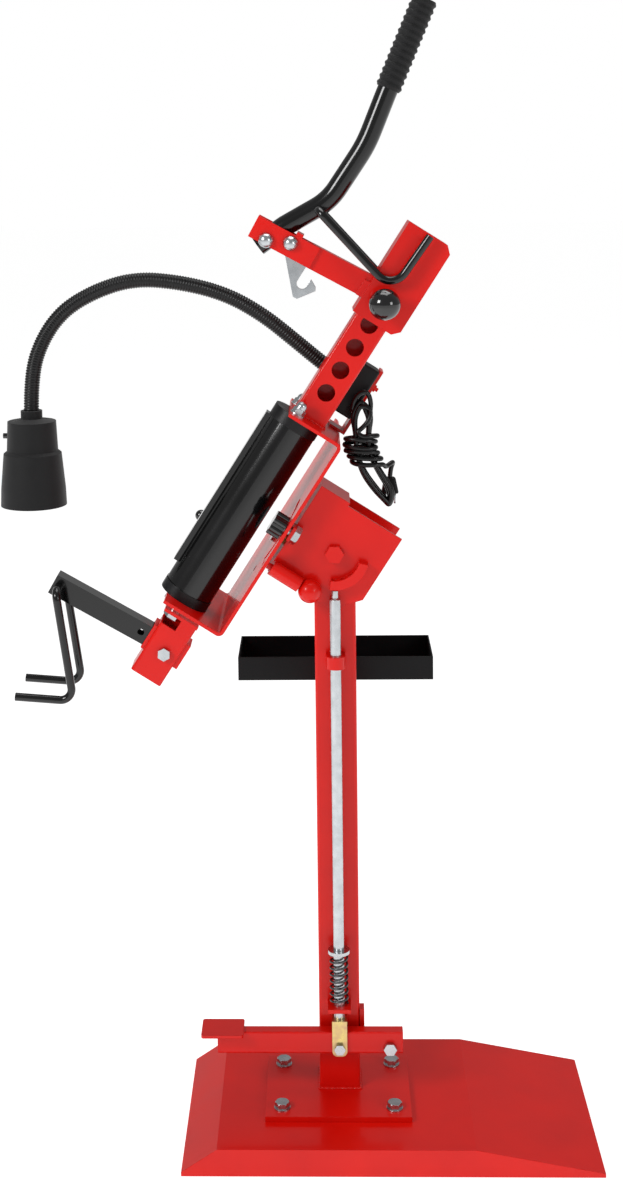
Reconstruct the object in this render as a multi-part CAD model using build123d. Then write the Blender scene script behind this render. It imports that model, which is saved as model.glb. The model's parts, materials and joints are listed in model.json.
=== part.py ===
from build123d import *
from math import atan2, cos, degrees, hypot, pi, radians, sin, tan
import os

# Pneumatic tyre spreader on a pedestal stand. Millimetres, +Z up, +X to the right, +Y to the back.
# The origin lies on the floor under the post's axis.

# ---- driving dimensions: stand ----
SHEET = 3.0                      # folded sheet of base and tray
BASE_LEFT, BASE_RIGHT = -227.0, 371.0
BASE_TOP_LEFT, BASE_TOP_RIGHT = -176.0, 190.0
BASE_FRONT, BASE_BACK = -178.0, 130.0
BASE_HEIGHT, BASE_LIP = 40.0, 6.0
FLANGE_SIZE = (213.0, 171.0, 8.0)
FLANGE_CENTRE = (-3.0, -22.0)
FLANGE_BOLT_PITCH = (164.0, 123.0)
POST, POST_WALL, POST_TOP = 60.0, 3.0, 888.0
TRAY_SIZE = (290.0, 115.0, 35.0)
TRAY_BOTTOM = 655.0

# ---- driving dimensions: tilt pivot, lock rod and pedal ----
PIVOT_Z = 862.9                  # tilt pivot above the floor, on the post's axis
PLATE_IN, PLATE_OUT = 33.0, 38.0  # side plates of the tilt box, both sides of the post
ARC_IN, ARC_OUT, ARC_THICK = 36.5, 50.0, 18.0
LOCK_ANGLES = (0, 20, 40, 60)
ROD_Y, ROD_R, NOSE_R, NOSE_LEN = -47.0, 8.0, 5.0, 12.0
ROD_TOP = PIVOT_Z - ARC_OUT - 0.6
STOP_Z, SPRING_LEN = 188.0, 80.0
PEDAL_PIVOT_X, PEDAL_PIVOT_Z = 74.0, 126.0
ARM_W, ARM_LOW, ARM_HIGH = 20.0, 117.0, 150.0
ARM_LEFT, ARM_RIGHT = -180.0, 93.0

# ---- driving dimensions: head. Its frame has z along the cylinder and x square to the back wall ----
LEAN = 32.75                     # degrees from upright, to the right
PIVOT_N, PIVOT_A = 69.0, 32.0    # tilt pivot in the head's frame
WALL_IN, WALL_OUT = -12.0, -7.0  # back wall of the U bracket
U_TOP, U_BOTTOM = 175.0, -153.0
U_NEAR, U_FAR = -72.0, 150.0
U_T = 5.0
CYL_X, CYL_R, BORE_R = -78.0, 37.5, 34.0
TUBE_X, TUBE, TUBE_WALL = -64.0, 50.0, 3.0
SWIVEL_Z = 11.0
VALVE_N, VALVE_Y, VALVE_PIVOT_A, INLET_A = -72.0, 112.0, -96.0, -84.0
VALVE_LEAN = 25.0  # the lever leans away from the valve, clear of it over its whole turn
PLUNGER_Y = 56.0
KNOB_X, KNOB_LENGTH = -33.0, 19.6
HOLE_PITCH, HOLE_FIRST, HOLE_R = 38.5, 221.5, 12.7
CAR_LOW, CAR_HIGH, CAR_LEFT, CAR_RIGHT = 342.0, 492.0, -95.0, -21.0
ARM_Z, ARM_RISE, ARM_TURN_X = 371.0, 4.0, -250.0   # upper arm: height, rise in degrees, where it turns
LEVER_PIVOT = (-253.0, 361.0)
LATCH_PIVOT = (-221.0, 376.0)
HOOK_PIVOT_UP = (-212.0, 437.0)
SLEEVE_A, SLEEVE_BOLT, DROOP = -221.5, (-60.0, -229.5), 2.8
ROD_WIRE = 6.0                   # radius of the hook rods
PRONG_Y = 46.0                   # hook prongs stand this far each side of the arm's middle

HEAD_X = -PIVOT_N * cos(radians(LEAN)) - PIVOT_A * sin(radians(LEAN))
HEAD_Z = PIVOT_Z + PIVOT_N * sin(radians(LEAN)) - PIVOT_A * cos(radians(LEAN))
HEAD = Location(Plane(origin=(HEAD_X, 0, HEAD_Z), x_dir=(cos(radians(LEAN)), 0, -sin(radians(LEAN))),
                      z_dir=(sin(radians(LEAN)), 0, cos(radians(LEAN)))))
TO_BACK, TO_RIGHT, UP = (-90, 0, 0), (0, 90, 0), (0, 0, 0)


# ---- small helpers ----
def block(x0, x1, y0, y1, z0, z1):
    """Box between two corners."""
    return Pos((x0 + x1) / 2, (y0 + y1) / 2, (z0 + z1) / 2) * Box(x1 - x0, y1 - y0, z1 - z0)


def rod(radius, length, at, turn=UP):
    """Round bar from a point, along +Z, or along the turned axis."""
    bar = Cylinder(radius, length, align=(Align.CENTER, Align.CENTER, Align.MIN))
    return Pos(*at) * Rotation(*turn) * bar


def ring(outer, inner, length, at, turn=UP):
    return rod(outer, length, at, turn) - rod(inner, length, at, turn)


def hexagon(across, height, at, turn=UP, edge=1.2):
    """Hex head or nut with its corners turned off."""
    prism = extrude(RegularPolygon(across / 2, 6, major_radius=False), height)
    return Pos(*at) * Rotation(*turn) * (prism & Cone(across / 2 + height, across / 2 * 1.06 - edge / 4, height,
                                                   align=(Align.CENTER, Align.CENTER, Align.MIN)))


def plate_xz(points, y0, y1):
    """Flat plate with its outline in the XZ plane, between two Y."""
    outline = Pos(0, y1, 0) * (Plane.XZ * make_face(Polyline(*points, close=True)))
    return extrude(outline, amount=y1 - y0)


def square_tube(side, wall, z0, z1, x=0.0, y=0.0):
    half = side / 2
    outer = fillet(block(x - half, x + half, y - half, y + half, z0, z1).edges().filter_by(Axis.Z), 4)
    inner = block(x - side / 2 + wall, x + side / 2 - wall, y - side / 2 + wall, y + side / 2 - wall, z0, z1)
    return outer - inner


def bent_rod(points, radius, bends):
    """Round bar bent along straight runs with the given radii."""
    path = FilletPolyline(*points, radius=bends)
    return sweep(Plane(origin=path @ 0, z_dir=path % 0) * Circle(radius), path=path)


# ---- stand ----
def base_pan():
    outer = [(BASE_LEFT, 0), (BASE_LEFT, BASE_LIP), (BASE_TOP_LEFT, BASE_HEIGHT), (BASE_TOP_RIGHT, BASE_HEIGHT),
             (BASE_RIGHT, BASE_LIP), (BASE_RIGHT, 0)]
    low, high = BASE_LIP - SHEET - 1, BASE_HEIGHT - SHEET
    inner = [(BASE_LEFT + SHEET, -1), (BASE_LEFT + SHEET, low), (BASE_TOP_LEFT + 1, high),
             (BASE_TOP_RIGHT - 1, high), (BASE_RIGHT - SHEET, low), (BASE_RIGHT - SHEET, -1)]
    pan = plate_xz(outer, BASE_FRONT, BASE_BACK) - plate_xz(inner, BASE_FRONT + SHEET, BASE_BACK - SHEET)
    rib = block(BASE_TOP_LEFT + 20, BASE_TOP_RIGHT - 20, -SHEET, SHEET, 0, high)
    return pan + rib - flange_holes(6.5, 0, BASE_HEIGHT + 1)


def flange_points():
    fx, fy = FLANGE_CENTRE
    px, py = FLANGE_BOLT_PITCH
    return [(fx + i * px / 2, fy + j * py / 2) for i in (-1, 1) for j in (-1, 1)]


def flange_holes(radius, z0, z1):
    return Part() + [rod(radius, z1 - z0, (x, y, z0)) for x, y in flange_points()]


def post_flange():
    w, d, t = FLANGE_SIZE
    fx, fy = FLANGE_CENTRE
    plate = block(fx - w / 2, fx + w / 2, fy - d / 2, fy + d / 2, BASE_HEIGHT, BASE_HEIGHT + t)
    return plate - flange_holes(6.5, BASE_HEIGHT - 1, BASE_HEIGHT + t + 1)


def flange_bolts():
    top = BASE_HEIGHT + FLANGE_SIZE[2]
    bolts = []
    for x, y in flange_points():
        bolts.append(rod(6, top - 22, (x, y, 22)) + rod(12, 2, (x, y, top)) + hexagon(19, 8, (x, y, top + 2)))
        bolts.append(hexagon(19, 9, (x, y, 28)))
    return Part() + bolts


def post_tube():
    foot = BASE_HEIGHT + FLANGE_SIZE[2]
    post = square_tube(POST, POST_WALL, foot, POST_TOP)
    post -= rod(11, 80, (0, -40, PIVOT_Z), TO_BACK)
    return post - tray_holes()


def tray_holes(radius=4.2):
    z = TRAY_BOTTOM + TRAY_SIZE[2] / 2
    return Part() + [rod(radius, 20, (x, 20, z), TO_BACK) for x in (-16, 16)]


def pivot_bush():
    return ring(11, 8.05, 2 * 30.5, (0, -30.5, PIVOT_Z), TO_BACK)


def tool_tray():
    w, d, h = TRAY_SIZE
    y0 = POST / 2
    tray = block(-w / 2, w / 2, y0, y0 + d, TRAY_BOTTOM, TRAY_BOTTOM + h)
    tray -= block(-w / 2 + 2, w / 2 - 2, y0 + 2, y0 + d - 2, TRAY_BOTTOM + 2, TRAY_BOTTOM + h + 1)
    return tray - tray_holes()


def tray_screws():
    z = TRAY_BOTTOM + TRAY_SIZE[2] / 2
    screws = []
    for x in (-16, 16):
        screws.append(rod(4, 9, (x, 24, z), TO_BACK) + rod(7, 4, (x, POST / 2 + 2, z), TO_BACK))
    return Part() + screws


def post_tabs():
    """Welded to the post: the rod's guide near the top, the tab under its spring and the pedal's lug."""
    collar = ring(14, ROD_R + 0.08, 18, (0, ROD_Y, 697))
    web = block(-14, 14, ROD_Y, -POST / 2, 697, 715) - rod(14, 18, (0, ROD_Y, 697))
    tab = block(-17, 17, ROD_Y - 17, -POST / 2, STOP_Z - 6, STOP_Z)
    return Part() + [collar + web, tab - rod(ROD_R + 0.08, 8, (0, ROD_Y, STOP_Z - 7)), pedal_lug()]


def pedal_lug():
    """Plate across the post's front behind the pedal arm, with a rib up the post's side."""
    lug = block(14, ARM_RIGHT, -34, -POST / 2, ARM_LOW + 1, ARM_HIGH - 5)
    lug += block(POST / 2, POST / 2 + 7, -POST / 2 - 0.5, -12, ARM_LOW + 1, ARM_HIGH + 22)
    return lug - rod(5.5, 20, (PEDAL_PIVOT_X, -36, PEDAL_PIVOT_Z), TO_BACK)


def pedal_pivot_bolt():
    near = ROD_Y - ARM_W / 2 - 0.4
    bolt = rod(5.4, -26 - near, (PEDAL_PIVOT_X, near, PEDAL_PIVOT_Z), TO_BACK)
    head = hexagon(17, 7, (PEDAL_PIVOT_X, near - 7, PEDAL_PIVOT_Z), TO_BACK)
    return bolt + head + rod(9, 2.6, (PEDAL_PIVOT_X, -36.7, PEDAL_PIVOT_Z), TO_BACK)


def tilt_pivot_bolt():
    out = PLATE_OUT + 0.4
    bolt = rod(7.98, 2 * out, (0, -out, PIVOT_Z), TO_BACK) + hexagon(24, 10, (0, -out - 10, PIVOT_Z), TO_BACK)
    return bolt + hexagon(24, 12, (0, out, PIVOT_Z), TO_BACK)


# ---- lock rod, spring and pedal ----
def lock_rod():
    shoulder = ROD_TOP - NOSE_LEN
    bar = rod(ROD_R, shoulder - 158, (0, ROD_Y, 158))
    bar = chamfer(bar.edges().sort_by(Axis.Z)[-1], 2.6)
    nose = chamfer(rod(NOSE_R, NOSE_LEN, (0, ROD_Y, shoulder)).edges().sort_by(Axis.Z)[-1], 1.5)
    return bar + nose


def spring_collar():
    z = STOP_Z + SPRING_LEN
    return ring(16, ROD_R, 5, (0, ROD_Y, z)) + rod(2.5, 32, (0, ROD_Y - 16, z + 2.5), TO_BACK) - rod(
        ROD_R, 5, (0, ROD_Y, z))


def lock_spring():
    helix = Helix(pitch=SPRING_LEN / 8, height=SPRING_LEN - 4, radius=12.3)
    start = Plane(origin=helix @ 0, z_dir=helix % 0)
    return Pos(0, ROD_Y, STOP_Z + 2) * sweep(start * Circle(1.7), path=helix, is_frenet=True)


def rod_link():
    """Yellow-zinc fork that joins the rod to the pedal arm."""
    half = ARM_W / 2
    fork = block(-11, 11, ROD_Y - half - 3.4, ROD_Y + half + 3.4, 114, 168)
    fork -= block(-12, 12, ROD_Y - half - 0.4, ROD_Y + half + 0.4, 113, 160)
    fork = fillet(fork.edges().filter_by(Axis.Y).group_by(Axis.Z)[0], 8)
    return fork - rod(ROD_R, 30, (0, ROD_Y, 158)) - rod(5, 40, (0, ROD_Y - 20, PEDAL_PIVOT_Z), TO_BACK)


def link_pin():
    reach = ARM_W / 2 + 3.4
    pin = rod(5, 2 * reach, (0, ROD_Y - reach, PEDAL_PIVOT_Z), TO_BACK)
    return pin + hexagon(15, 5, (0, ROD_Y - reach - 5, PEDAL_PIVOT_Z), TO_BACK)


def pedal_arm():
    y0, y1 = ROD_Y - ARM_W / 2, ROD_Y + ARM_W / 2
    arm = block(ARM_LEFT, ARM_RIGHT, y0, y1, ARM_LOW, ARM_HIGH)
    arm = fillet(arm.edges().filter_by(Axis.X), 2.5)
    arm -= block(ARM_LEFT - 1, ARM_RIGHT + 1, y0 + 2, y1 - 2, ARM_LOW + 2, ARM_HIGH - 2)
    pad = block(-203, -141, ROD_Y - 28, ROD_Y + 22, ARM_HIGH - 0.5, ARM_HIGH + 4)
    arm += fillet(pad.edges().filter_by(Axis.Z), 4)
    slot = block(-2, 2, y0 - 1, y1 + 1, PEDAL_PIVOT_Z - 5.6, PEDAL_PIVOT_Z + 5.6)
    slot += rod(5.6, ARM_W + 2, (-2, y0 - 1, PEDAL_PIVOT_Z), TO_BACK)
    slot += rod(5.6, ARM_W + 2, (2, y0 - 1, PEDAL_PIVOT_Z), TO_BACK)
    return arm - slot - rod(5.45, ARM_W + 2, (PEDAL_PIVOT_X, y0 - 1, PEDAL_PIVOT_Z), TO_BACK)


# ---- tilt box: turns on the post, carries the head ----
def tilt_box():
    outline = [(1, 101), (140, 101), (140, -4), (108, -40), (1, -41)]
    box = plate_xz(outline, -PLATE_OUT, -PLATE_IN) + plate_xz(outline, PLATE_IN, PLATE_OUT)
    box += block(1, 6, -PLATE_OUT, PLATE_OUT, -41, 101) + block(1, 49, -PLATE_OUT, PLATE_OUT, 101, 106)
    box -= rod(8.03, 100, (PIVOT_N, -50, PIVOT_A), TO_BACK)
    box -= rod(15.1, 10, (0, 0, SWIVEL_Z), TO_RIGHT)
    box += block(-3, 2, -62, -30, 16, 38)
    box -= rod(5.5, 20, (-4, -50, 27), TO_RIGHT)
    return HEAD * box


def lock_arc():
    """Arc bar with a hole for the rod's nose at each tilt."""
    y0 = -PLATE_OUT - ARC_THICK
    arc = ring(ARC_OUT, ARC_IN, ARC_THICK, (0, y0, 0), TO_BACK)
    keep = [(0, 0)] + [(120 * sin(radians(t)), -120 * cos(radians(t))) for t in (-9, 16, 41, 74)]
    arc = arc & plate_xz(keep, y0 - 1, y0 + ARC_THICK + 1)
    for angle in LOCK_ANGLES:
        arc -= Rotation(0, -angle, 0) * rod(NOSE_R + 0.1, 60, (0, ROD_Y, -60))
    return Pos(0, 0, PIVOT_Z) * arc


def swivel_bush():
    """Flanged bush that the head turns on, with its bolt inside."""
    bush = ring(15, 8, 18, (-12, 0, SWIVEL_Z), TO_RIGHT)
    return HEAD * bush


def swivel_fasteners():
    """Bolt that holds the bracket on its bush, and the clamp stud with its nut; it runs in the curved slot."""
    bolt = rod(7.9, 24, (-17.3, 0, SWIVEL_Z), TO_RIGHT) + hexagon(24, 8, (6.4, 0, SWIVEL_Z), TO_RIGHT)
    bolt += rod(19, 5, (-17.3, 0, SWIVEL_Z), TO_RIGHT)
    return HEAD * (bolt + hexagon(24, 9, (2, -50, 27), TO_RIGHT) + rod(5, 42, (-31, -50, 27), TO_RIGHT))


def clamp_knob():
    """Star knob, a nut on the clamp stud."""
    star = rod(15, KNOB_LENGTH, (KNOB_X, -50, 27), TO_RIGHT)
    for k in range(7):
        turn = 2 * pi * k / 7
        star += rod(4.6, KNOB_LENGTH, (KNOB_X, -50 + 14 * cos(turn), 27 + 14 * sin(turn)), TO_RIGHT)
    return HEAD * (star - rod(5.05, 20, (KNOB_X + 1.9, -50, 27), TO_RIGHT))


def plunger_barrel():
    at = (1, -PLUNGER_Y, -30)
    barrel = ring(11, 5.05, 48, at, TO_RIGHT) + block(1, 49, -50, -PLATE_OUT, -36, -24)
    return HEAD * (barrel - rod(5.05, 48, at, TO_RIGHT))


def plunger_pin():
    pin = rod(4.9, 60, (-5, -PLUNGER_Y, -30), TO_RIGHT)
    return HEAD * (pin + Pos(66, -PLUNGER_Y, -30) * Sphere(17))


# ---- U bracket and air cylinder ----
def u_bracket():
    u = block(-104, WALL_OUT, U_NEAR, U_FAR, U_BOTTOM, U_TOP)
    u = fillet(u.edges().filter_by(Axis.Y).group_by(Axis.X)[-1], 9)
    inner = block(-105, WALL_IN, U_NEAR - 1, U_FAR + 1, U_BOTTOM + U_T, U_TOP - U_T)
    u -= fillet(inner.edges().filter_by(Axis.Y).group_by(Axis.X)[-1], 4)
    u -= block(-105, -95, U_NEAR - 1, U_FAR + 1, U_TOP - U_T - 2, U_TOP + 1)
    u -= block(-105, -18, 84, U_FAR + 1, U_TOP - U_T - 2, U_TOP + 1)
    u -= rod(15.05, 20, (-16, 0, SWIVEL_Z), TO_RIGHT)
    u -= rod(13, 20, (CYL_X, 0, U_BOTTOM - 5))
    for y in (-42, 42):
        u -= rod(5, 20, (CYL_X - 6, y, U_TOP - 12))
    for x, y in tie_points():
        u -= rod(3.1, 20, (x, y, U_BOTTOM - 8))
    return HEAD * (u - swivel_slot() - index_holes())


def tie_points():
    return [(CYL_X + i * 21, j * 21) for i in (-1, 1) for j in (-1, 1)]


def swivel_slot():
    """Slot round the swivel axis for the clamp stud, 60 degrees each way."""
    radius, middle = hypot(50, 27 - SWIVEL_Z), 162.0
    slot = ring(radius + 5.6, radius - 5.6, 20, (0, 0, -10))
    angles = [radians(middle + d) for d in (-62, -30, 0, 30, 62)]
    wedge = make_face(Polyline((0, 0), *[(90 * cos(t), 90 * sin(t)) for t in angles], close=True))
    slot = slot & extrude(wedge, 20, both=True)
    for t in (angles[0], angles[-1]):
        slot += rod(5.6, 20, (radius * cos(t), radius * sin(t), -10))
    # the flat slot stands up square to the swivel axis
    return Pos(-10, 0, SWIVEL_Z) * Plane(origin=(0, 0, 0), x_dir=(0, 1, 0), z_dir=(1, 0, 0)).location * slot


def index_holes():
    radius, start = hypot(PLUNGER_Y, 30 + SWIVEL_Z), 180 + degrees(atan2(30 + SWIVEL_Z, PLUNGER_Y))
    holes = []
    for turn in (-60, 0, 60):
        t = radians(start + turn)
        holes.append(rod(5.1, 20, (-18, radius * cos(t), SWIVEL_Z + radius * sin(t)), TO_RIGHT))
    return Part() + holes


def cylinder_barrel():
    barrel = ring(CYL_R, BORE_R, 284, (CYL_X, 0, -133))
    rail = block(CYL_X - CYL_R - 6, CYL_X - CYL_R + 4, -11, 11, -105, 151)
    rail -= rod(CYL_R - 0.5, 300, (CYL_X, 0, -140))
    return HEAD * (barrel + rail)


def end_cap(z0, z1):
    cap = block(CYL_X - 38, CYL_X + 38, -38, 38, z0, z1)
    return fillet(cap.edges().filter_by(Axis.Z), 34)


def front_cap():
    cap = end_cap(U_BOTTOM + U_T, -133) + rod(BORE_R, 12, (CYL_X, 0, -133)) - rod(12.5, 60, (CYL_X, 0, -160))
    cap -= Part() + [rod(3.1, 30, (x, y, -150)) for x, y in tie_points()]
    return HEAD * (cap - rod(5, 30, (CYL_X, 20, -138), TO_BACK))


def rear_cap():
    cap = end_cap(151, U_TOP - U_T) + rod(BORE_R, 10, (CYL_X, 0, 141))
    return HEAD * (cap - rod(5, 30, (CYL_X, 20, 160), TO_BACK))


def cap_screws():
    screws = []
    for x, y in tie_points():
        screws.append(rod(3, 26, (x, y, U_BOTTOM - 1)) + rod(5.5, 4, (x, y, U_BOTTOM - 4)))
    return HEAD * (Part() + screws)


def rod_bush():
    return HEAD * ring(12.45, 9.95, 32, (CYL_X, 0, -156))


def piston():
    return HEAD * (ring(BORE_R - 0.4, 9.9, 28, (CYL_X, 0, 100)) - ring(BORE_R, 29.5, 6, (CYL_X, 0, 111)))


def piston_seal():
    return HEAD * ring(BORE_R - 0.06, 29.5, 6, (CYL_X, 0, 111))


def piston_rod():
    return HEAD * (rod(9.9, 312, (CYL_X, 0, -184)) + hexagon(24, 10, (CYL_X, 0, 128)))


def top_stud_nuts():
    """Acorn nuts and washers on the bracket's top flange."""
    nuts = []
    for y in (-42, 42):
        x = CYL_X - 6
        dome = rod(7.6, 5, (x, y, U_TOP + 8)) + Pos(x, y, U_TOP + 13) * Sphere(7.5)
        washer = rod(11, 2, (x, y, U_TOP)) + rod(4.9, U_T, (x, y, U_TOP - U_T))
        nuts.append(hexagon(17, 8, (x, y, U_TOP + 2)) + dome + washer)
    return HEAD * (Part() + nuts)


# ---- upper tube, carriage and lever ----
def upper_tube():
    """Square tube welded on the bracket's top flange, with index holes in its near wall."""
    tube = square_tube(TUBE, TUBE_WALL, U_TOP, 486, TUBE_X)
    for k in range(7):
        tube -= rod(HOLE_R, TUBE, (TUBE_X, -TUBE, HOLE_FIRST + k * HOLE_PITCH), TO_BACK)
    return HEAD * tube


def carriage():
    """Sleeve that slides on the upper tube, with the arm and its fork welded to it."""
    in_x, in_y = TUBE / 2 + 0.35, TUBE / 2 + 0.35
    box = block(CAR_LEFT, CAR_RIGHT, -31, 31, CAR_LOW, CAR_HIGH)
    box -= block(TUBE_X - in_x, TUBE_X + in_x, -in_y, in_y, CAR_LOW - 1, CAR_HIGH - 4)
    corners = box.edges().filter_by(Axis.Y).group_by(Axis.X)[-1]
    box = chamfer([corners.sort_by(Axis.Z)[0], corners.sort_by(Axis.Z)[-1]], 10)
    box -= rod(10.1, 20, (TUBE_X, -40, HOLE_FIRST + 4 * HOLE_PITCH), TO_BACK)
    arm = block(-190, CAR_LEFT + 2, -17.5, 17.5, ARM_Z - 17, ARM_Z + 17)
    arm -= block(-191, CAR_LEFT + 4, -14, 14, ARM_Z - 14, ARM_Z + 14)
    for side in (-1, 1):
        y0, y1 = sorted((side * 17, side * 22))
        arm += block(-279, -180, y0, y1, ARM_Z - 16.5, ARM_Z + 16.5)
    arm += block(-219, -209, -22, 22, ARM_Z + 15, ARM_Z + 22)
    arm = Pos(ARM_TURN_X, 0, ARM_Z) * Rotation(0, -ARM_RISE, 0) * Pos(-ARM_TURN_X, 0, -ARM_Z) * arm
    for x, z in (LEVER_PIVOT, LATCH_PIVOT):
        arm -= rod(5.05, 60, (x, -30, z), TO_BACK)
    lug = block(CAR_LEFT - 9, CAR_LEFT + 1, -24, -17, ARM_Z - 7, ARM_Z + 18)
    return HEAD * (box + arm + lug)


def arm_bolts():
    """Dome-head pivot bolts of the lever and the latch."""
    bolts = []
    for (x, z), far_y in ((LEVER_PIVOT, 22.3), (LATCH_PIVOT, 28.0)):
        near = Pos(x, -22.3, z) * Sphere(11) & block(x - 12, x + 12, -34, -22.3, z - 12, z + 12)
        far = hexagon(15, 7, (x, far_y, z), TO_BACK)
        bolts.append(rod(5, far_y + 22.3, (x, -22.3, z), TO_BACK) + near + far)
    return HEAD * (Part() + bolts)


def carriage_pin():
    """Spring pin with a ball knob; it enters a hole of the tube when let go."""
    z = HOLE_FIRST + 4 * HOLE_PITCH
    pin = rod(10, 12, (TUBE_X, -37.3, z), TO_BACK) + rod(6, 14, (TUBE_X, -50, z), TO_BACK)
    return HEAD * (pin + Pos(TUBE_X, -64, z) * Sphere(22.5))


def lever_tube():
    px, pz = LEVER_PIVOT
    ux, uz = -241 - px, 391 - pz
    length = hypot(ux, uz)
    end = (px - 15 * ux / length, 0, pz - 15 * uz / length)
    points = [end, (-241, 0, 391), (-206, 0, 456), (-204, 0, 551), (-218, 0, 625), (-242, 0, 764)]
    tube = bent_rod(points, 15, [60, 90, 200, 400])
    hx, hz = HOOK_PIVOT_UP
    tube -= rod(5.3, 40, (px, -20, pz), TO_BACK)
    return HEAD * (tube - rod(ROD_WIRE + 0.1, 40, (hx, -20, hz), TO_BACK))


def lever_grip():
    grip_start, grip_end = (-219.5, 0, 634), (-242, 0, 764)
    way = Vector(grip_end) - Vector(grip_start)
    on_tube = Plane(origin=grip_start, z_dir=way)
    sleeve = extrude(on_tube * Circle(19), way.length + 4) - extrude(on_tube * Circle(15.15), way.length + 0.05)
    return HEAD * sleeve


def fork_hook(pivot, bend, tip, first_bend):
    """Both prongs and the cross rod of a hook bent from one bar."""
    prongs = []
    for side in (-1, 1):
        y = side * PRONG_Y
        pts = [(pivot[0], 0, pivot[1]), (pivot[0], y, pivot[1]), (bend[0], y, bend[1]), (tip[0], y, tip[1])]
        prongs.append(bent_rod(pts, ROD_WIRE, [12, first_bend]))
    return prongs[0] + prongs[1]


def upper_hook():
    return HEAD * fork_hook(HOOK_PIVOT_UP, (-64, 397), (-60, 490), 24)


def latch_hook():
    """Small plate hook that hangs from its pivot outside the far cheek."""
    px, pz = LATCH_PIVOT
    outline = [(px - 10, pz - 7), (px + 9, pz + 9), (-183, 364), (-167, 345), (-155.5, 339), (-152.7, 333.7),
               (-169.5, 310), (-176.4, 309.4)]
    plate = rod(13, 5, (px, 22.6, pz), TO_BACK) + plate_xz(outline, 22.6, 27.6)
    slot = rod(8, 6, (-175, 22, 333), TO_BACK)
    slot += plate_xz([(-183, 333), (-183, 370), (-167, 370), (-167, 333)], 22, 28)
    return HEAD * (plate - slot - rod(5.05, 6, (px, 22, pz), TO_BACK))


# ---- lower tube, arm and hook, all on the piston rod ----
def lower_tube():
    """Square tube under a thick plate that the piston rod is screwed into."""
    top, low = -175.0, -275.0
    tube = square_tube(TUBE, TUBE_WALL, low, top, TUBE_X) + block(-94, -38, -25, 25, top, top + 5)
    tube -= rod(9.95, 20, (CYL_X, 0, top - 2)) + block(-92, -64, -26, 16, top - 17, top)
    tube -= block(CAR_LEFT, -30, -20.3, 20.3, -241.8, -201.2)
    return HEAD * (tube - rod(5.05, 60, (SLEEVE_BOLT[0], -30, SLEEVE_BOLT[1]), TO_BACK))


def cross_sleeve():
    sleeve = block(-94, -32, -20, 20, -241.5, -201.5) - block(-95, -31, -17, 17, -238.5, -204.5)
    return HEAD * (sleeve - rod(5.05, 60, (SLEEVE_BOLT[0], -30, SLEEVE_BOLT[1]), TO_BACK))


def lower_fasteners():
    """Cross bolt of the lower arm and the nut on the piston rod's end."""
    out = TUBE / 2 + 0.2
    x, z = SLEEVE_BOLT
    bolt = rod(5, 2 * out, (x, -out, z), TO_BACK)
    bolt += hexagon(17, 7, (x, -out - 7, z), TO_BACK) + hexagon(17, 8, (x, out, z), TO_BACK)
    return HEAD * (bolt + (hexagon(24, 9, (CYL_X, 0, -184)) - rod(9.95, 12, (CYL_X, 0, -185))))


def lower_arm():
    """Square tube arm, drooping a little in its sleeve."""
    arm = block(-188, 28, -15, 15, -15, 15) - block(-185, 29, -12.5, 12.5, -12.5, 12.5)
    arm -= rod(5, 40, (-41, -20, 0), TO_BACK) + rod(5.6, 40, (SLEEVE_BOLT[0] - TUBE_X, -20, -8), TO_BACK)
    arm -= rod(ROD_WIRE + 0.1, 40, (-178, -20, 0), TO_BACK)
    return HEAD * Pos(TUBE_X, 0, SLEEVE_A) * Rotation(0, -DROOP, 0) * arm


def lower_hook():
    pivot = (TUBE_X - 178 * cos(radians(DROOP)), SLEEVE_A - 178 * sin(radians(DROOP)))
    return HEAD * fork_hook(pivot, (-136, -354), (-211, -394), 16)


# ---- air valve on the bottom flange, behind the cylinder ----
def valve_body():
    """Valve block with two ears for its lever."""
    y0, y1 = VALVE_Y - 20, VALVE_Y + 20
    foot = U_BOTTOM + U_T
    body = fillet(block(VALVE_N - 18, VALVE_N + 18, y0, y1, foot, foot + 80).edges().filter_by(Axis.X), 4)
    for y in (y0 + 6, y1 - 9.5):
        body += block(VALVE_N - 29, VALVE_N - 17, y, y + 3.5, VALVE_PIVOT_A - 6, VALVE_PIVOT_A + 6)
    body -= rod(2.05, 40, (VALVE_N - 24, y0, VALVE_PIVOT_A), TO_BACK)
    return HEAD * (body - rod(5, 24, (VALVE_N, y1 - 22, INLET_A), TO_BACK))


def inlet_nipple():
    """Push-in air nipple of the valve, pointing to the back."""
    at = Location((VALVE_N, VALVE_Y + 20, INLET_A), TO_BACK)
    nipple = at * (hexagon(17, 6, (0, 0, 0)) + rod(6, 16, (0, 0, 6)) + rod(4.9, 8, (0, 0, -8)))
    return HEAD * (nipple - at * rod(3, 60, (0, 0, -20)))


def valve_lever():
    x, z = VALVE_N - 24, VALVE_PIVOT_A
    hub = rod(5, 20, (x, VALVE_Y - 10, z), TO_BACK) + rod(2, 28, (x, VALVE_Y - 14, z), TO_BACK)
    stem = rod(3, 40, (0, 0, 0)) + Pos(0, 0, 44) * Sphere(9)
    return HEAD * (hub + Pos(x, VALVE_Y, z) * Rot(0, -VALVE_LEAN, 0) * stem)


# ---- lamp: box, gooseneck, head and lead ----
def lamp_plate():
    plate = block(-9, -4, 37, 80, U_TOP, 284) + block(-30, -9, 37, 80, U_TOP, U_TOP + 4)
    return HEAD * (plate + rod(3, 8, (-4, 51, 256), TO_RIGHT) + rod(5.5, 4, (-4, 51, 256), TO_RIGHT))


def lamp_box():
    box = fillet(block(-58, -9, 27, 75, 200, 282).edges(), 3) - block(-55, -12, 30, 72, 203, 279)
    box -= rod(12.2, 10, (-63, 51, 245), TO_RIGHT)
    return HEAD * box - rod(7.2, 12, (CORD[0][0], CORD[0][1] - 2, CORD[0][2]), TO_BACK)


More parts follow.
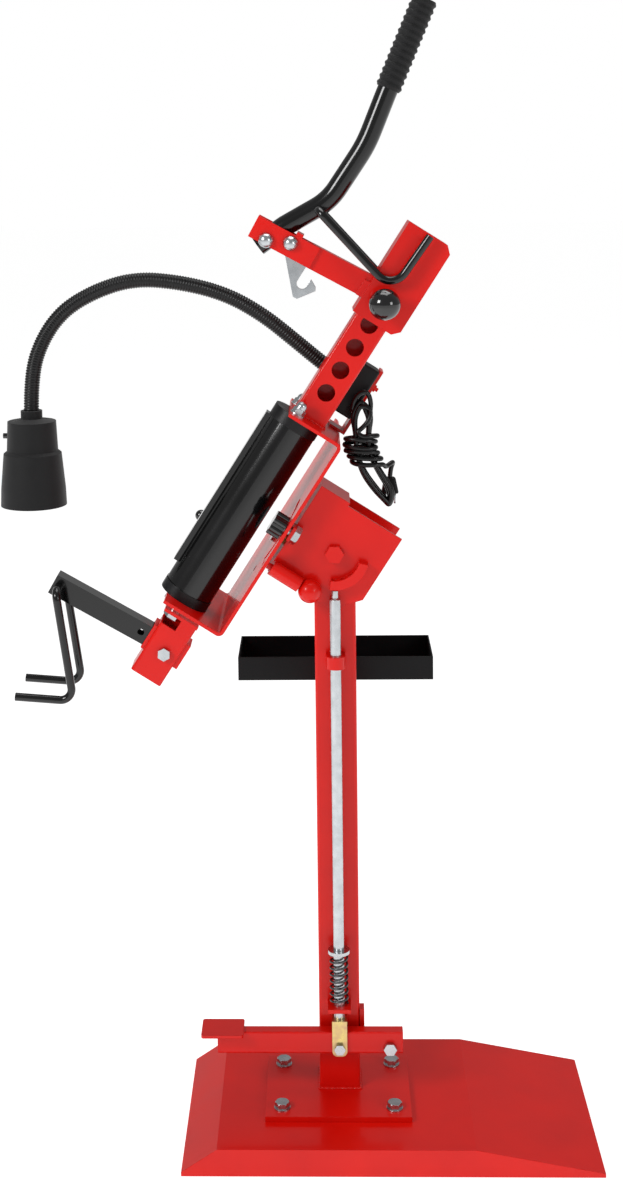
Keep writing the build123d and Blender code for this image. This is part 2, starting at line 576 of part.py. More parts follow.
GOOSE = [(x, 51.0, z) for x, z in (
    (-447, 1050), (-447, 1093), (-437, 1150), (-403, 1205), (-352, 1237), (-290, 1256), (-222, 1250), (-155, 1232),
    (-100, 1200), (-52, 1160), (-12, 1126), (14.6, 1105.5))]


def cord_radii(points, share=0.45):
    """Largest tangent arc that each corner's two runs allow."""
    radii = []
    for a, b, c in zip(points, points[1:], points[2:]):
        u, v = Vector(b) - Vector(a), Vector(c) - Vector(b)
        radii.append(share * min(u.length, v.length) / tan(radians(u.get_angle(v)) / 2))
    return radii


def gooseneck():
    return bent_rod(GOOSE, 11.5, cord_radii(GOOSE))


def lamp_shell():
    """Conical rubber lamp shade, hollow, mouth down."""
    x, y = GOOSE[0][0], GOOSE[0][1]
    outline = [(0, 1062), (16, 1062), (16, 1050), (36, 1046), (38, 1002), (43, 998), (48, 945), (49, 920),
               (45, 920), (44, 945), (39, 1000), (0, 1000)]
    face = Plane(origin=(x, y, 0), x_dir=(1, 0, 0), z_dir=(0, -1, 0)) * make_face(Polyline(*outline, close=True))
    shell = revolve(face, axis=Axis((x, y, 0), (0, 0, 1)))
    return shell - rod(11.6, 14, (x, y, 1050)) - rod(4.2, 20, (x - 47, y, 1024), TO_RIGHT)


def lamp_switch():
    x, y = GOOSE[0][0], GOOSE[0][1]
    return rod(4.1, 12, (x - 43, y, 1024), TO_RIGHT)


def lamp_lens():
    x, y = GOOSE[0][0], GOOSE[0][1]
    return rod(43.8, 3, (x, y, 931))


def led_board():
    x, y = GOOSE[0][0], GOOSE[0][1]
    board = rod(36, 2, (x, y, 994))
    for k in range(6):
        i, j = x + 22 * cos(k * pi / 3), y + 22 * sin(k * pi / 3)
        board += block(i - 2, i + 2, j - 2, j + 2, 992, 994.5)
    return board


CORD_R = 3.5
CORD = [(28, 25, 1060), (28, 13, 1060), (29, 7, 1073), (37, 6, 1088), (50, 8, 1092), (56, 9, 1076)]


def lamp_cord():
    return bent_rod(CORD, CORD_R, cord_radii(CORD))


def cord_gland():
    """Rubber strain relief where the lead leaves the lamp box."""
    x, y, z = CORD[0]
    return rod(7, 8, (x, y, z), TO_BACK) + rod(9, 2, (x, y, z), TO_BACK)


def cord_hank():
    """Outer shape of the folded and tied lead."""
    outline = [(24, 1076), (62, 1076), (72, 1030), (84, 985), (100, 930), (94, 918), (68, 926), (40, 950), (20, 985),
               (17, 1030)]
    return plate_xz(outline, -6, 25)


def mains_plug():
    body = block(70, 96, 25, 47, 936, 960)
    return body + [rod(2, 16.5, (x, 36, 920)) for x in (76, 90)]


NODES = {f.__name__: f for f in (
    base_pan, post_flange, flange_bolts, post_tube, pivot_bush, tool_tray, tray_screws, post_tabs,
    pedal_pivot_bolt, tilt_pivot_bolt, lock_rod, spring_collar, lock_spring,
    rod_link, link_pin, pedal_arm, tilt_box, lock_arc, swivel_bush, swivel_fasteners, clamp_knob,
    plunger_barrel, plunger_pin, u_bracket, cylinder_barrel, front_cap, rear_cap, cap_screws, rod_bush,
    piston, piston_seal, piston_rod, top_stud_nuts, upper_tube, carriage, arm_bolts, carriage_pin, lever_tube,
    lever_grip, upper_hook, latch_hook, lower_tube, cross_sleeve, lower_fasteners, lower_arm, lower_hook,
    valve_body, inlet_nipple, valve_lever, lamp_plate, lamp_box, gooseneck, lamp_shell, lamp_switch,
    lamp_lens, led_board, lamp_cord, cord_gland, cord_hank, mains_plug)}

if __name__ == "__main__":
    print("nodes", len(NODES), "cord radii", [round(r, 1) for r in cord_radii(CORD)])
    os.makedirs("parts", exist_ok=True)
    for name, make in NODES.items():
        shape = make()
        print(name, round(shape.volume), len(shape.solids()), shape.is_valid)
        export_step(shape, f"parts/{name}.step")
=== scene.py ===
import json
import math
import random

import bmesh
import bpy
from mathutils import Matrix, Vector


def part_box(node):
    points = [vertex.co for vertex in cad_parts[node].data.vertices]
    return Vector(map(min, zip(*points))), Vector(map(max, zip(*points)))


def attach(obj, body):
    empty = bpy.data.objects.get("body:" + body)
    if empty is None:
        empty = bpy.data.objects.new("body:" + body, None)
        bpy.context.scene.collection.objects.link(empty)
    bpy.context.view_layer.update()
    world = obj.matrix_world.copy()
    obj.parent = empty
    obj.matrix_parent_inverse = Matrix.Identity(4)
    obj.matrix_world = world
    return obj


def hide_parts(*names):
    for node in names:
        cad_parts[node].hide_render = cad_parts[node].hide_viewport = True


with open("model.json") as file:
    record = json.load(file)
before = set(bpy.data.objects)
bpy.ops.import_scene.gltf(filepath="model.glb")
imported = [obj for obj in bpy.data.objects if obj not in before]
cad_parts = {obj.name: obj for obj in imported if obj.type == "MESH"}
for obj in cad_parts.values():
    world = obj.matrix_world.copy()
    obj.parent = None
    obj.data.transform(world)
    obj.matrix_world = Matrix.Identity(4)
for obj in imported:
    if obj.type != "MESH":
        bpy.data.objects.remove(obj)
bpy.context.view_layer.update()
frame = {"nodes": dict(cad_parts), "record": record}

MM = 0.001
NODES = frame["nodes"]
SLOT_OF = {part["node"]: part["material_slot"] for part in frame["record"]["subparts"]}

# ---- Camera: stands in front of the spreader, a little left of the post, at chest height ----
FOCAL, LONG_SIDE, SENSOR = 1743.8, 1186.0, 36.0     # focal length and long side in image units; film in mm
SHIFT_X, SHIFT_Y = 41.0, -262.0
EYE = (-0.0115, -2.5, 1.4446)
camera = bpy.data.objects.new("camera", bpy.data.cameras.new("camera"))
bpy.context.scene.collection.objects.link(camera)
camera.data.sensor_width = SENSOR
camera.data.lens = FOCAL / LONG_SIDE * SENSOR
camera.data.shift_x, camera.data.shift_y = SHIFT_X / LONG_SIDE, SHIFT_Y / LONG_SIDE
YAW, PITCH, ROLL = 1.767, -6.0, -0.828
camera.matrix_world = (Matrix.Translation(EYE)
                       @ Matrix.Rotation(math.radians(YAW), 4, "Z")
                       @ Matrix.Rotation(math.radians(90 + PITCH), 4, "X")
                       @ Matrix.Rotation(math.radians(ROLL), 4, "Z"))
bpy.context.scene.camera = camera

# ---- Red steel: base, post, tilt box, bracket, tubes and carriage ----
# Mild steel sheet and tube, welded, then coated with gloss red powder. The coat has a slight
# orange peel, pools thinner on the edges and shows faint waves of tone on the big faces.
def linear(hex_colour):
    """sRGB hex to the linear colour that shaders take."""
    values = [int(hex_colour[i:i + 2], 16) / 255 for i in (1, 3, 5)]
    return [v / 12.92 if v <= 0.04045 else ((v + 0.055) / 1.055) ** 2.4 for v in values] + [1.0]


def add(tree, kind, inputs=(), **settings):
    """Adds a node; an input may be a value or another node's output."""
    node = tree.nodes.new(kind)
    for key, value in settings.items():
        setattr(node, key, value)
    for socket, value in dict(inputs).items():
        if isinstance(value, bpy.types.NodeSocket):
            tree.links.new(value, node.inputs[socket])
        else:
            node.inputs[socket].default_value = value
    return node


def start_material(name):
    """An empty Principled material, with its tree, shader and Object coordinates."""
    material = bpy.data.materials.new(name)
    material.use_nodes = True
    tree = material.node_tree
    shader = tree.nodes["Principled BSDF"]
    where = add(tree, "ShaderNodeTexCoord").outputs["Object"]
    return material, tree, shader, where


NOISE_SPAN = (0.3, 0.7)  # most of a noise pattern's values lie between these


def mottle(tree, where, size_mm, low, high, detail=3.0):
    """Colour that drifts between two hex colours over patches of a real size."""
    noise = add(tree, "ShaderNodeTexNoise",
                {"Vector": where, "Scale": 1 / (size_mm * MM), "Detail": detail})
    ramp = add(tree, "ShaderNodeValToRGB", {"Fac": noise.outputs["Fac"]})
    for end, place, colour in zip(ramp.color_ramp.elements, NOISE_SPAN, (low, high)):
        end.position, end.color = place, linear(colour)
    return ramp.outputs["Color"], noise.outputs["Fac"]


def surface_relief(tree, shader, where, size_mm, depth_mm, edge_mm, detail=2.0):
    """Fine relief on top of slightly rounded edges."""
    noise = add(tree, "ShaderNodeTexNoise",
                {"Vector": where, "Scale": 1 / (size_mm * MM), "Detail": detail})
    edge = add(tree, "ShaderNodeBevel", {"Radius": edge_mm * MM}, samples=4)
    bump = add(tree, "ShaderNodeBump", {"Height": noise.outputs["Fac"], "Normal": edge.outputs["Normal"],
                                        "Distance": depth_mm * MM, "Strength": 0.5})
    tree.links.new(bump.outputs["Normal"], shader.inputs["Normal"])


def rough_range(tree, shader, factor, low, high):
    """Roughness that follows a pattern between two values."""
    spread = add(tree, "ShaderNodeMapRange", {"Value": factor, "To Min": low, "To Max": high,
                                              "From Min": NOISE_SPAN[0], "From Max": NOISE_SPAN[1]})
    tree.links.new(spread.outputs["Result"], shader.inputs["Roughness"])


MATERIALS = {}


def finish_slot(slot, material):
    """Gives every CAD node of a record slot its finish."""
    MATERIALS[slot] = material
    for name, node_slot in SLOT_OF.items():
        if node_slot == slot:
            data = NODES[name].data
            data.materials.clear()
            data.materials.append(material)


red, tree, shader, where = start_material("red_gloss_powder_coat")
tone, drift = mottle(tree, where, 90, "#CE0B03", "#DA1004")
tree.links.new(tone, shader.inputs["Base Color"])
rough_range(tree, shader, drift, 0.3, 0.38)
shader.inputs["IOR"].default_value = 1.5
shader.inputs["Specular IOR Level"].default_value = 0.2
shader.inputs["Coat Weight"].default_value = 0.22
shader.inputs["Coat Roughness"].default_value = 0.08
surface_relief(tree, shader, where, 3.0, 0.05, 1.4)
finish_slot("red_paint", red)

# ---- Gloss black paint: cylinder barrel, lever, hook rods and lower arm ----
# Stove-enamelled steel tube and rod, almost pure black, with a wet shine and long soft highlights.
black_paint, tree, shader, where = start_material("gloss_black_enamel")
tone, drift = mottle(tree, where, 60, "#030303", "#070708")
shader.inputs["Specular IOR Level"].default_value = 0.3
tree.links.new(tone, shader.inputs["Base Color"])
rough_range(tree, shader, drift, 0.16, 0.22)
shader.inputs["IOR"].default_value = 1.5
shader.inputs["Coat Weight"].default_value = 0.45
shader.inputs["Coat Roughness"].default_value = 0.05
surface_relief(tree, shader, where, 4.0, 0.06, 0.8)
finish_slot("black_gloss_paint", black_paint)

# ---- Cylinder end caps ----
# Die-cast aluminium, painted satin black: a fine sand-cast grain shows under the paint.
cap_paint, tree, shader, where = start_material("satin_black_die_cast")
tone, drift = mottle(tree, where, 12, "#0A0A0B", "#141416")
shader.inputs["Specular IOR Level"].default_value = 0.3
tree.links.new(tone, shader.inputs["Base Color"])
rough_range(tree, shader, drift, 0.32, 0.45)
surface_relief(tree, shader, where, 1.6, 0.2, 1.2)
finish_slot("black_cast", cap_paint)

# ---- Zinc-plated steel: bolts, nuts, lock rod and latch ----
# Bright zinc over turned or forged steel: a cool grey metal with fine marks and clouded patches.
zinc, tree, shader, where = start_material("bright_zinc_plate")
tone, drift = mottle(tree, where, 14, "#B2B6B9", "#C6CACD")
tree.links.new(tone, shader.inputs["Base Color"])
shader.inputs["Metallic"].default_value = 1.0
rough_range(tree, shader, drift, 0.25, 0.29)
surface_relief(tree, shader, where, 1.2, 0.02, 0.6)
finish_slot("zinc", zinc)

# ---- Link of the lock rod ----
# Yellow chromate over zinc: straw yellow that drifts to rose and green in patches.
yellow_zinc, tree, shader, where = start_material("yellow_chromate_zinc")
tone, drift = mottle(tree, where, 9, "#D8C27C", "#C9A884")
tree.links.new(tone, shader.inputs["Base Color"])
shader.inputs["Metallic"].default_value = 1.0
rough_range(tree, shader, drift, 0.26, 0.4)
surface_relief(tree, shader, where, 1.5, 0.08, 0.8)
finish_slot("yellow_zinc", yellow_zinc)

# ---- Lock spring ----
# Patented spring wire, coiled and oiled: dark grey metal with a dull shine.
spring_wire, tree, shader, where = start_material("oiled_spring_wire")
tone, drift = mottle(tree, where, 5, "#4A4B4D", "#6C6E70")
tree.links.new(tone, shader.inputs["Base Color"])
shader.inputs["Metallic"].default_value = 1.0
rough_range(tree, shader, drift, 0.3, 0.45)
finish_slot("spring_steel", spring_wire)

# ---- Bushes ----
# Sintered bronze, porous and oil-filled: matt brown-gold metal.
bronze, tree, shader, where = start_material("sintered_bronze")
tone, drift = mottle(tree, where, 1.5, "#8D6A3C", "#B48B54")
tree.links.new(tone, shader.inputs["Base Color"])
shader.inputs["Metallic"].default_value = 1.0
rough_range(tree, shader, drift, 0.4, 0.55)
finish_slot("bronze", bronze)

# ---- Piston rod ----
# Ground and hard-chromed steel bar: mirror bright, with faint rings from the grinding.
chrome, tree, shader, where = start_material("hard_chrome_bar")
tone, drift = mottle(tree, where, 4, "#D9DBDD", "#E6E8EA")
tree.links.new(tone, shader.inputs["Base Color"])
shader.inputs["Metallic"].default_value = 1.0
rough_range(tree, shader, drift, 0.06, 0.12)
finish_slot("chromed_rod", chrome)

# ---- Piston and valve body ----
# Milled aluminium, clear anodised: pale grey metal with a fine even grain.
milled, tree, shader, where = start_material("milled_anodised_aluminium")
tone, drift = mottle(tree, where, 3, "#A9ABAE", "#BEC0C3")
tree.links.new(tone, shader.inputs["Base Color"])
shader.inputs["Metallic"].default_value = 1.0
rough_range(tree, shader, drift, 0.3, 0.42)
surface_relief(tree, shader, where, 0.9, 0.05, 0.6)
finish_slot("aluminium", milled)

# ---- Air nipple ----
# Turned brass: warm yellow metal, slightly tarnished.
brass, tree, shader, where = start_material("turned_brass")
tone, drift = mottle(tree, where, 4, "#C9A24A", "#DDBE6E")
tree.links.new(tone, shader.inputs["Base Color"])
shader.inputs["Metallic"].default_value = 1.0
rough_range(tree, shader, drift, 0.2, 0.34)
finish_slot("brass_fitting", brass)

# ---- Tool tray ----
# Folded sheet with a textured black powder coat: matt, with a fine wrinkle that breaks the light.
tray_coat, tree, shader, where = start_material("wrinkled_black_powder_coat")
tone, drift = mottle(tree, where, 40, "#060607", "#0D0D0F")
shader.inputs["Specular IOR Level"].default_value = 0.2
tree.links.new(tone, shader.inputs["Base Color"])
rough_range(tree, shader, drift, 0.5, 0.62)
surface_relief(tree, shader, where, 1.4, 0.35, 1.0, detail=4.0)
finish_slot("black_powder", tray_coat)

# ---- Knobs ----
# Phenolic, compression-moulded and tumbled to a polish: deep black with a hard bright highlight.
phenolic, tree, shader, where = start_material("polished_phenolic")
tone, drift = mottle(tree, where, 8, "#020203", "#070708")
tree.links.new(tone, shader.inputs["Base Color"])
rough_range(tree, shader, drift, 0.1, 0.18)
shader.inputs["Coat Weight"].default_value = 0.6
shader.inputs["Coat Roughness"].default_value = 0.06
finish_slot("black_knob", phenolic)

# ---- Rubber: seals, grip and lamp shade ----
# Moulded black rubber: matt, faintly bloomed to grey, with a fine mould grain.
rubber, tree, shader, where = start_material("moulded_rubber")
tone, drift = mottle(tree, where, 25, "#0B0B0C", "#151516")
shader.inputs["Specular IOR Level"].default_value = 0.22
tree.links.new(tone, shader.inputs["Base Color"])
rough_range(tree, shader, drift, 0.55, 0.7)
shader.inputs["Sheen Weight"].default_value = 0.15
surface_relief(tree, shader, where, 0.8, 0.1, 1.0)
finish_slot("grip_rubber", rubber)
finish_slot("seal_rubber", rubber)

# ---- Lamp box and plug ----
# Injection-moulded ABS with a spark-eroded grain: satin black.
abs_plastic, tree, shader, where = start_material("grained_abs")
tone, drift = mottle(tree, where, 20, "#060607", "#0C0C0E")
shader.inputs["Specular IOR Level"].default_value = 0.25
tree.links.new(tone, shader.inputs["Base Color"])
rough_range(tree, shader, drift, 0.38, 0.5)
surface_relief(tree, shader, where, 0.9, 0.12, 1.0)
finish_slot("black_box", abs_plastic)

# ---- Gooseneck sleeve ----
# Convoluted PVC sleeve over a flexible steel spine: satin black, brighter on the crests of its ribs.
neck_sleeve, tree, shader, where = start_material("convoluted_sleeve")
tone, drift = mottle(tree, where, 15, "#040405", "#0A0A0B")
shader.inputs["Specular IOR Level"].default_value = 0.35
tree.links.new(tone, shader.inputs["Base Color"])
rough_range(tree, shader, drift, 0.28, 0.4)
finish_slot("ribbed_neck", neck_sleeve)

# ---- Lamp lead ----
# Round black PVC flex: soft satin shine, faintly dusty along its length.
flex_skin, tree, shader, where = start_material("black_pvc_flex")
tone, drift = mottle(tree, where, 10, "#030304", "#080809")
shader.inputs["Specular IOR Level"].default_value = 0.35
tree.links.new(tone, shader.inputs["Base Color"])
rough_range(tree, shader, drift, 0.22, 0.34)
finish_slot("cord_pvc", flex_skin)

# ---- Lamp lens and LED board ----
# Clear polycarbonate disc with a faint prism grain, in front of a white circuit board.
lens, tree, shader, where = start_material("prismatic_polycarbonate")
shader.inputs["Base Color"].default_value = linear("#F2F4F6")
shader.inputs["Transmission Weight"].default_value = 0.9
shader.inputs["IOR"].default_value = 1.58
shader.inputs["Roughness"].default_value = 0.12
surface_relief(tree, shader, where, 2.5, 0.4, 0.5)
finish_slot("lens", lens)
board, tree, shader, where = start_material("white_solder_mask")
tone, drift = mottle(tree, where, 6, "#E6E6DF", "#F4F4EE")
tree.links.new(tone, shader.inputs["Base Color"])
rough_range(tree, shader, drift, 0.35, 0.5)
finish_slot("board", board)


# ---- Gooseneck ----
# A flexible steel spine in a ribbed sleeve, 23 mm across, from the lamp box over to the lamp.
# The sleeve is spun straight with a rib every 4 mm and then bent along the neck's curve.
NECK_Y = 51.0
NECK = [(-447, 1050), (-447, 1093), (-437, 1150), (-403, 1205), (-352, 1237), (-290, 1256), (-222, 1250),
        (-155, 1232), (-100, 1200), (-52, 1160), (-12, 1126), (14.6, 1105.5)]
RIB_PITCH, RIB_CREST, RIB_ROOT = 4.0, 11.6, 10.2


def new_piece(name, bm, slot, body):
    """Turns a bmesh into a piece that rides on a body with a slot's finish."""
    bmesh.ops.recalc_face_normals(bm, faces=bm.faces)
    mesh = bpy.data.meshes.new(name)
    bm.to_mesh(mesh)
    bm.free()
    mesh.materials.append(MATERIALS[slot])
    mesh.shade_smooth()
    piece = bpy.data.objects.new(name, mesh)
    bpy.context.scene.collection.objects.link(piece)
    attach(piece, body)
    return piece


def smooth_line(points, name, share=8):
    """Points along the NURBS curve of a route, as Blender evaluates it."""
    data = bpy.data.curves.new(name, "CURVE")
    data.dimensions = "3D"
    spline = data.splines.new("NURBS")
    spline.points.add(len(points) - 1)
    for point, place in zip(spline.points, points):
        point.co = (*place, 1)
    spline.order_u = 3
    spline.use_endpoint_u = True
    data.resolution_u = share
    guide = bpy.data.objects.new(name, data)
    bpy.context.scene.collection.objects.link(guide)
    shaped = guide.evaluated_get(bpy.context.evaluated_depsgraph_get())
    line_mesh = bpy.data.meshes.new_from_object(shaped)
    line = [v.co.copy() for v in line_mesh.vertices]
    bpy.data.objects.remove(guide)
    bpy.data.meshes.remove(line_mesh)
    return line


def bend_along(bm, line):
    """Bends a straight piece, built along +X from the origin, onto a line."""
    steps = [0.0]
    for a, b in zip(line, line[1:]):
        steps.append(steps[-1] + (b - a).length)
    side = Vector((0, 1, 0))
    for vert in bm.verts:
        reach = min(max(vert.co.x, 0.0), steps[-1] - 1e-6)
        k = max(i for i, s in enumerate(steps[:-1]) if s <= reach)
        way = (line[k + 1] - line[k]).normalized()
        back = (line[k] - line[k - 1]).normalized() if k else way
        part = (reach - steps[k]) / (steps[k + 1] - steps[k])
        ahead = back.lerp(way, min(part + 0.5, 1.0)).normalized()
        rise = ahead.cross(side).normalized()
        vert.co = line[k] + way * (reach - steps[k]) + side * vert.co.y + rise * vert.co.z


def ribbed_bar(bm, length, pitch, crest, root, turns=32, per_rib=4):
    """A round bar along +X whose skin rises and falls by ribs, with closed ends."""
    count = max(int(length / pitch), 1) * per_rib
    profile = [bm.verts.new((0, 0, 0))]
    for i in range(count + 1):
        swell = 0.5 - 0.5 * math.cos(2 * math.pi * i / per_rib)
        profile.append(bm.verts.new((length * i / count, 0, root + (crest - root) * swell)))
    profile.append(bm.verts.new((length, 0, 0)))
    edges = [bm.edges.new(pair) for pair in zip(profile, profile[1:])]
    bmesh.ops.spin(bm, geom=profile + edges, cent=(0, 0, 0), axis=(1, 0, 0), angle=2 * math.pi,
                   steps=turns, use_merge=True)
    bmesh.ops.remove_doubles(bm, verts=bm.verts, dist=1e-6)


neck_line = smooth_line([(x * MM, NECK_Y * MM, z * MM) for x, z in NECK], "neck_guide", share=12)
neck_length = sum((b - a).length for a, b in zip(neck_line, neck_line[1:]))
bm = bmesh.new()
ribbed_bar(bm, neck_length, RIB_PITCH * MM, RIB_CREST * MM, RIB_ROOT * MM, turns=28)
bend_along(bm, neck_line)
neck = new_piece("gooseneck_sleeve", bm, "ribbed_neck", "swivel_head")
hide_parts("gooseneck")

# ---- Lever grip ----
# A moulded rubber sleeve pushed on the lever's end, with rings for the fingers and a closed dome.
LEAN = math.radians(32.75)                          # how far the head is tilted from upright
TILT_HEIGHT, PIVOT_N, PIVOT_A = 862.9, 69.0, 32.0   # tilt pivot: above the floor, and in the head's frame
HEAD_X = -PIVOT_N * math.cos(LEAN) - PIVOT_A * math.sin(LEAN)
HEAD_Z = TILT_HEIGHT + PIVOT_N * math.sin(LEAN) - PIVOT_A * math.cos(LEAN)


def head(n, y, a):
    """A place in the head's leaning frame, in metres: n square to the back wall, a up the cylinder."""
    return Vector((HEAD_X + n * math.cos(LEAN) + a * math.sin(LEAN), y,
                   HEAD_Z - n * math.sin(LEAN) + a * math.cos(LEAN))) * MM


GRIP_R, GRIP_RINGS, RING_DEPTH = 19.0, 14, 2.2
grip_line = [head(-219.5, 0, 634), head(-242.6, 0, 768)]
grip_length = (grip_line[1] - grip_line[0]).length
bm = bmesh.new()
ribbed_bar(bm, grip_length, grip_length / GRIP_RINGS, GRIP_R * MM, (GRIP_R - RING_DEPTH) * MM,
           turns=48, per_rib=8)
bend_along(bm, grip_line)
grip = new_piece("ribbed_grip", bm, "grip_rubber", "hand_lever")
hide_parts("lever_grip")

# ---- Lamp lead, tied in a hank ----
# About 1.8 m of 7 mm flex: out of the box, folded in three long loops and bound round the middle
# by five turns of its own end, with the plug hanging below.
LEAD_D, LEAD_LENGTH = 7.0, 1.8
LEAD = [(28, 25, 1060), (28, 13, 1060), (29, 7, 1073), (37, 6, 1088), (50, 8, 1092), (56, 9, 1076)]
HANK_X, HANK_Y, HANK_TOP = 42.0, 9.5, 1078.0
HANK_SWING = 38.0                                   # the foot hangs this far to the right
WAIST, WRAP_FIRST, WRAP_GAP, WRAP_WIDE, WRAP_DEEP = 9.0, 50.0, 8.4, 23.0, 12.5
WRAPS, WRAP_STEPS, LOOP_STEPS = 5, 14, 16
LOOPS = ((4, 150, 17, 13, 5.0), (0, 155, 20, 22, 1.5), (7, 152, 15, 17, -2.0))  # top, foot, widths, depth
UNEVEN, LOOP_DRIFT = 0.6, 3.2                       # sideways scatter, and depth gained per loop
random.seed(4)


def in_hank(down, across, depth):
    """Place in the hank: mm below its top, to its right, and behind its middle plane."""
    lean = min(max((down - 72) / 84, 0), 1)
    return (HANK_X + HANK_SWING * lean * lean * (3 - 2 * lean) + across, HANK_Y + depth, HANK_TOP - down)


def half_width(down, upper, lower):
    """The loops are pinched by the turns round the middle and open out above and below them."""
    above, below = math.exp(-((down - 22) / 18) ** 2), math.exp(-((down - 124) / 20) ** 2)
    return WAIST + (upper - WAIST) * above + (lower - WAIST) * below


route = list(LEAD)
for k, (top, foot, upper, lower, depth) in enumerate(LOOPS):
    for i in range(2 if k == 0 else 1, LOOP_STEPS + 1):
        t = 2 * math.pi * i / LOOP_STEPS
        down = (top + foot) / 2 - (foot - top) / 2 * math.cos(t)
        across = half_width(down, upper, lower) * math.sin(t) + random.uniform(-UNEVEN, UNEVEN)
        route.append(in_hank(down, across, depth - LOOP_DRIFT * i / LOOP_STEPS))
route += [in_hank(12, 13, -5.5), in_hank(25, 12, -7), in_hank(37, 3, -9), in_hank(45, -8, -11.5)]
for i in range(int((WRAPS + 0.25) * WRAP_STEPS) + 1):
    t = 2 * math.pi * i / WRAP_STEPS - math.pi / 2
    wide = WRAP_WIDE + 3.0 * math.sin(0.83 * t)
    down = WRAP_FIRST + WRAP_GAP * i / WRAP_STEPS + 2.2 * math.sin(t) * math.sin(0.4 * t)
    route.append(in_hank(down, wide * math.cos(t), WRAP_DEEP * math.sin(t)))
route += [(76, 16, 978), (86, 24, 984), (88, 33, 982), (84, 36, 972), (83, 36, 958)]
flex_data = bpy.data.curves.new("lamp_flex", "CURVE")
flex_data.dimensions = "3D"
flex_line = flex_data.splines.new("NURBS")
flex_line.points.add(len(route) - 1)
for point, place in zip(flex_line.points, route):
    point.co = (*(c * MM for c in place), 1)
flex_line.order_u = 3
flex_line.use_endpoint_u = True
flex_data.resolution_u = 6
flex_data.bevel_depth = LEAD_D / 2 * MM
flex_data.bevel_resolution = 5
flex_data.use_fill_caps = True
flex_data.materials.append(flex_skin)
flex = bpy.data.objects.new("lamp_flex", flex_data)
bpy.context.scene.collection.objects.link(flex)
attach(flex, "swivel_head")
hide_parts("lamp_cord", "cord_hank")

# ---- Mains plug ----
# Moulded-on two-pin plug: a soft block that narrows to the flex, with two turned pins.
PLUG_AT, PLUG_SIZE, PLUG_NECK = (83, 36, 948), (26, 22, 24), 0.62
PIN_TIP, PIN_ROOT, PIN_LENGTH, PIN_Z = 1.6, 2.0, 16.0, 928.5
bm = bmesh.new()
bmesh.ops.create_cube(bm, size=1.0)
bmesh.ops.scale(bm, vec=Vector(PLUG_SIZE) * MM, verts=bm.verts)
for vert in bm.verts:
    if vert.co.z > 0:
        vert.co.x *= PLUG_NECK
        vert.co.y *= PLUG_NECK
bmesh.ops.bevel(bm, geom=bm.edges[:], offset=3.5 * MM, segments=4, profile=0.5, affect="EDGES",
                material=-1)
bmesh.ops.translate(bm, vec=Vector(PLUG_AT) * MM, verts=bm.verts)
plug = new_piece("plug_body", bm, "black_box", "swivel_head")
bm = bmesh.new()
for x in (76, 90):
    pin = bmesh.ops.create_cone(bm, cap_ends=True, segments=24, radius1=PIN_TIP * MM,
                                radius2=PIN_ROOT * MM, depth=PIN_LENGTH * MM)
    bmesh.ops.translate(bm, vec=Vector((x, PLUG_AT[1], PIN_Z)) * MM, verts=pin["verts"])
pins = new_piece("plug_pins", bm, "zinc", "swivel_head")
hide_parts("mains_plug")


# ---- Weld beads ----
# The post, the upper tube and the carriage's arm are welded on; each bead is a row of overlapping
# ripples of weld metal, painted over with the rest.
def weld_bead(name, body, runs, width=5.0, step=3.2):
    """A bead along straight runs, in mm wide, with a ripple at every step."""
    bm = bmesh.new()
    for start, end in runs:
        length = (end - start).length
        count = max(int(length / (step * MM)), 2)
        for i in range(count + 1):
            ripple = bmesh.ops.create_icosphere(bm, subdivisions=2, radius=width / 2 * MM)["verts"]
            grow = 1 + 0.12 * math.sin(i * 2.4)
            bmesh.ops.scale(bm, vec=(grow, grow, grow * 0.8), verts=ripple)
            bmesh.ops.translate(bm, vec=start.lerp(end, i / count), verts=ripple)
    return new_piece(name, bm, "red_paint", body)


def loop_runs(corners):
    """The sides of a closed outline."""
    return list(zip(corners, corners[1:] + corners[:1]))


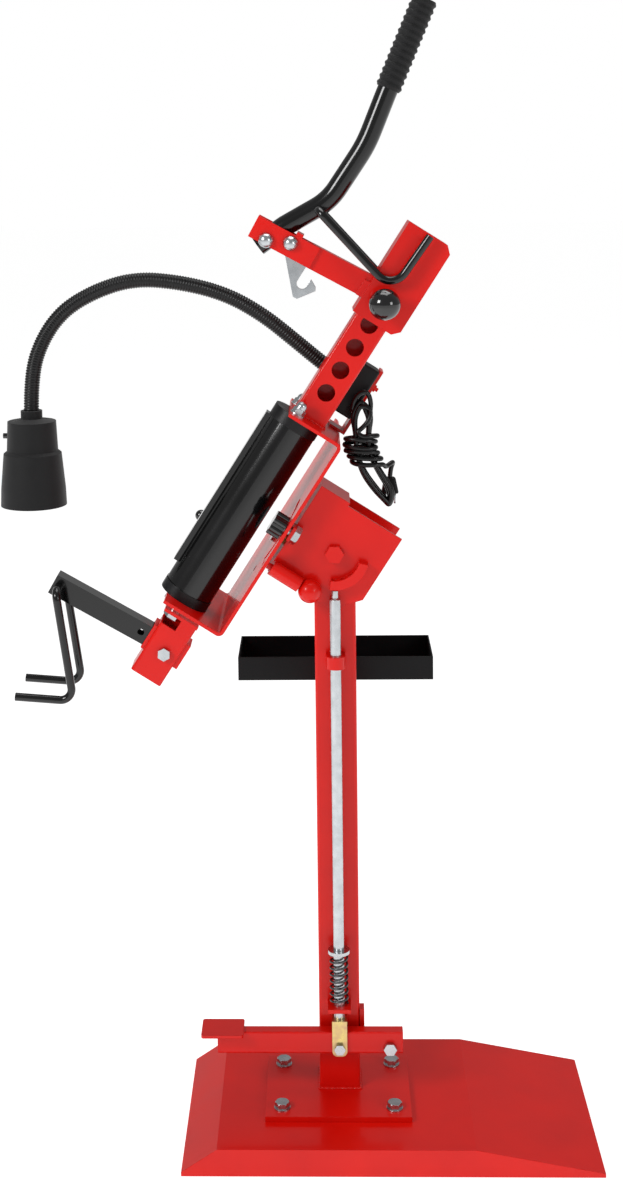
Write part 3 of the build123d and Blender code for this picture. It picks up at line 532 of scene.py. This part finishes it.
low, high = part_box("post_tube")
foot_z = low.z + 0.5 * MM
sides = ((low.x, low.y), (high.x, low.y), (high.x, high.y), (low.x, high.y))
foot = [Vector((x, y, foot_z)) for x, y in sides]
weld_bead("post_foot_weld", "stand", loop_runs(foot), width=6.0)
tube_foot = [head(n, y, 175.5) for n, y in ((-89, -25), (-39, -25), (-39, 25), (-89, 25))]
weld_bead("tube_foot_weld", "swivel_head", loop_runs(tube_foot))
arm_root = [head(-95, y, a) for y, a in ((-17.5, 365), (17.5, 365), (17.5, 399), (-17.5, 399))]
weld_bead("arm_root_weld", "slide_carriage", loop_runs(arm_root), width=4.0)

# ---- Floor and light ----
# A plain pale floor, a broad key light from the upper left, a fill from the right and a top light.
bm = bmesh.new()
bmesh.ops.create_grid(bm, x_segments=1, y_segments=1, size=30.0)
floor_mesh = bpy.data.meshes.new("floor")
bm.to_mesh(floor_mesh)
bm.free()
floor = bpy.data.objects.new("floor", floor_mesh)
bpy.context.scene.collection.objects.link(floor)
paper, tree, shader, where = start_material("pale_floor")
shader.inputs["Base Color"].default_value = linear("#DADADA")
shader.inputs["Roughness"].default_value = 0.9
shader.inputs["Emission Color"].default_value = linear("#FFFFFF")
shader.inputs["Emission Strength"].default_value = 0.75
floor_mesh.materials.append(paper)

world = bpy.data.worlds.new("studio")
bpy.context.scene.world = world
world.use_nodes = True
tree = world.node_tree
room = tree.nodes["Background"]
room.inputs["Color"].default_value = linear("#FFFFFF")
seen = add(tree, "ShaderNodeLightPath").outputs["Is Camera Ray"]
level = add(tree, "ShaderNodeMapRange", {"Value": seen, "To Min": 0.34, "To Max": 1.0})
tree.links.new(level.outputs["Result"], room.inputs["Strength"])


def soft_light(name, place, target, size, watts):
    """A square light, in metres wide, that faces its target."""
    data = bpy.data.lights.new(name, "AREA")
    data.shape, data.size, data.energy = "SQUARE", size, watts
    lamp = bpy.data.objects.new(name, data)
    bpy.context.scene.collection.objects.link(lamp)
    lamp.location = place
    lamp.rotation_euler = (Vector(target) - Vector(place)).to_track_quat("-Z", "Y").to_euler()


soft_light("key", (-2.4, -2.2, 2.7), (0, 0, 1.0), 1.1, 62)
soft_light("fill", (2.4, -2.2, 1.8), (0, 0, 0.8), 0.9, 17)
soft_light("top", (0.2, 0.4, 3.6), (0, 0, 0.8), 1.8, 34)
bpy.context.scene.view_settings.view_transform = "Standard"
